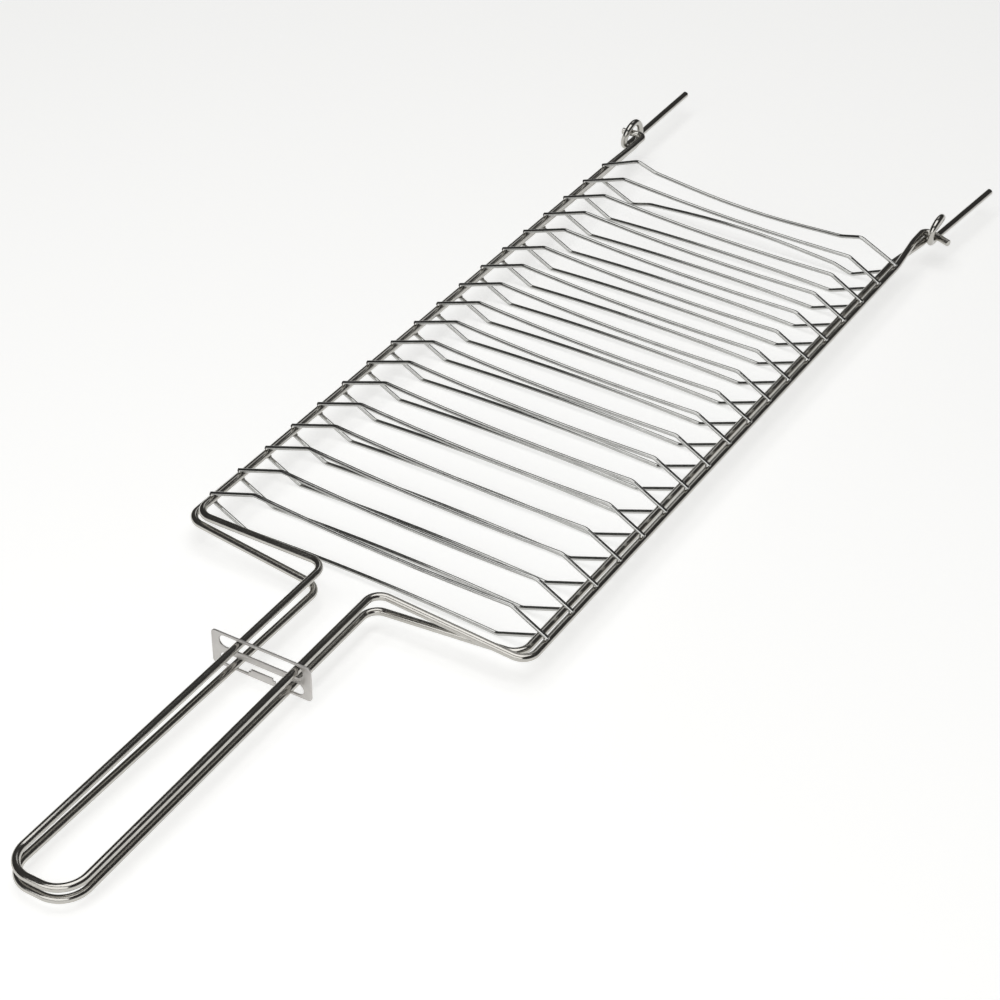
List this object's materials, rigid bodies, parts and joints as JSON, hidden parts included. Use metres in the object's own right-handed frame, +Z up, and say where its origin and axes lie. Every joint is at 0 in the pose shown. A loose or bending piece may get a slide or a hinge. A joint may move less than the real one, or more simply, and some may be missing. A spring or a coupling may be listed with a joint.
{
  "type": "grill grate",
  "caption": "Folding wire grill grate with a long double-loop handle: two rod frames with arched cross wires, hinged in bent rings, held shut by a sliding slotted plate.",
  "frame": {"origin": "middle of the footprint, on the surface that the lower grate's wires rest on", "axes": "+Y runs along the grate from the handle to the hinge, +Z up from the lower grate to the upper one, +X to the right as seen from the handle"},
  "size_m": [0.2206, 0.7666, 0.0375],
  "materials": {
    "plated_rod": "bright nickel plate on drawn steel rod",
    "plated_wire": "bright nickel plate on drawn steel wire",
    "zinc_sheet": "matt zinc plate on punched steel sheet"
  },
  "bodies": {
    "lower_grate": {"lower_frame": "plated_rod", "lower_wire_01": "plated_wire", "lower_wire_02": "plated_wire", "lower_wire_03": "plated_wire", "lower_wire_04": "plated_wire", "lower_wire_05": "plated_wire", "lower_wire_06": "plated_wire", "lower_wire_07": "plated_wire", "lower_wire_08": "plated_wire", "lower_wire_09": "plated_wire", "lower_wire_10": "plated_wire", "lower_wire_11": "plated_wire", "lower_wire_12": "plated_wire", "lower_wire_13": "plated_wire", "lower_wire_14": "plated_wire", "lower_wire_15": "plated_wire", "lower_wire_16": "plated_wire", "lower_wire_17": "plated_wire", "lower_wire_18": "plated_wire"},
    "upper_grate": {"upper_frame": "plated_rod", "upper_wire_01": "plated_wire", "upper_wire_02": "plated_wire", "upper_wire_03": "plated_wire", "upper_wire_04": "plated_wire", "upper_wire_05": "plated_wire", "upper_wire_06": "plated_wire", "upper_wire_07": "plated_wire", "upper_wire_08": "plated_wire", "upper_wire_09": "plated_wire", "upper_wire_10": "plated_wire", "upper_wire_11": "plated_wire", "upper_wire_12": "plated_wire", "upper_wire_13": "plated_wire", "upper_wire_14": "plated_wire", "upper_wire_15": "plated_wire", "upper_wire_16": "plated_wire", "upper_wire_17": "plated_wire", "upper_wire_18": "plated_wire"},
    "latch": {"latch_plate": "zinc_sheet"}
  },
  "joints": [
    {"name": "latch_slide", "type": "slide", "parent": "lower_grate", "child": "latch", "axis": [0, -0.9997, -0.0239], "range_m": [0, 0.11]},
    {"name": "grate_hinge", "type": "hinge", "parent": "lower_grate", "child": "upper_grate", "pos_m": [-0.00034, 0.30151, 0.02162], "axis": [-0.9996, 0, 0.027], "range_deg": [-0.025, 0.041]}
  ]
}
